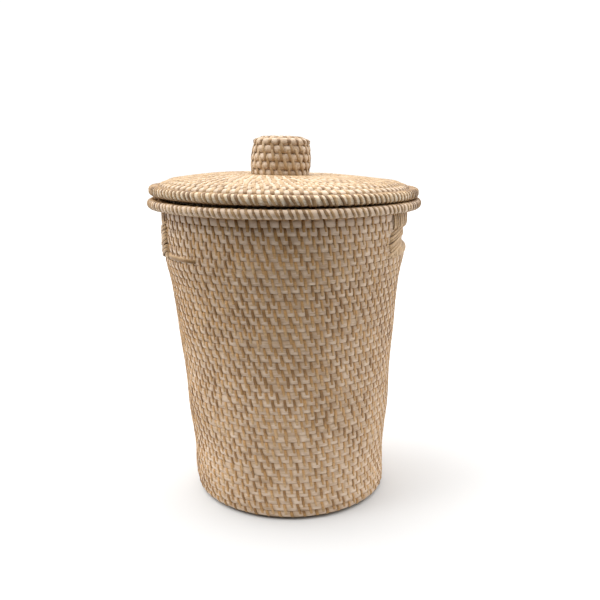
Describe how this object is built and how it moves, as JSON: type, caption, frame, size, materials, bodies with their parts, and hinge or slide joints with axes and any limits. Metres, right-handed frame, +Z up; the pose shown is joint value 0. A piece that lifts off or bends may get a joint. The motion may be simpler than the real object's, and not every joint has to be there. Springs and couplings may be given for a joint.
{
  "type": "wastebasket",
  "caption": "Round tapered coiled-rattan wastebasket with two hand holes below a thick rim and a lift-off domed lid with a woven knob.",
  "frame": {"origin": "centre of the foot ring, at floor level, on the basket's centre line", "axes": "+Z up along the centre line; the hand holes are on +X and -X, the front faces -Y"},
  "size_m": [0.2802, 0.2802, 0.372],
  "materials": {
    "coiled_rattan_basket": "matt white-washed rattan core sewn with natural peel",
    "coiled_rattan_lid": "matt white-washed rattan core sewn with natural peel",
    "rim_and_edge": "satin rattan peel wrapped closely round a thick core",
    "hole_binding": "satin pale rattan peel binding"
  },
  "bodies": {
    "basket": {"foot_ring": "coiled_rattan_basket", "base_centre": "coiled_rattan_basket", "base_disc": "coiled_rattan_basket", "heel_coil": "coiled_rattan_basket", "wall_lower": "coiled_rattan_basket", "wall_middle": "coiled_rattan_basket", "wall_back_panel": "coiled_rattan_basket", "wall_front_panel": "coiled_rattan_basket", "wall_upper_row": "coiled_rattan_basket", "right_hole_sill": "hole_binding", "right_hole_grip": "hole_binding", "right_hole_front_end": "hole_binding", "right_hole_back_end": "hole_binding", "left_hole_sill": "hole_binding", "left_hole_grip": "hole_binding", "left_hole_front_end": "hole_binding", "left_hole_back_end": "hole_binding", "rim_flange_coil": "rim_and_edge", "rim_coil": "rim_and_edge"},
    "lid": {"lid_disc": "coiled_rattan_lid", "lid_edge_coil": "rim_and_edge", "lid_seat_coil": "coiled_rattan_lid", "lid_locating_ring": "coiled_rattan_lid", "knob_side": "coiled_rattan_lid", "knob_top": "coiled_rattan_lid"}
  },
  "joints": [
    {"name": "lid_lift", "type": "slide", "parent": "basket", "child": "lid", "axis": [0, 0, 1], "range_m": [0, 0.4]}
  ]
}
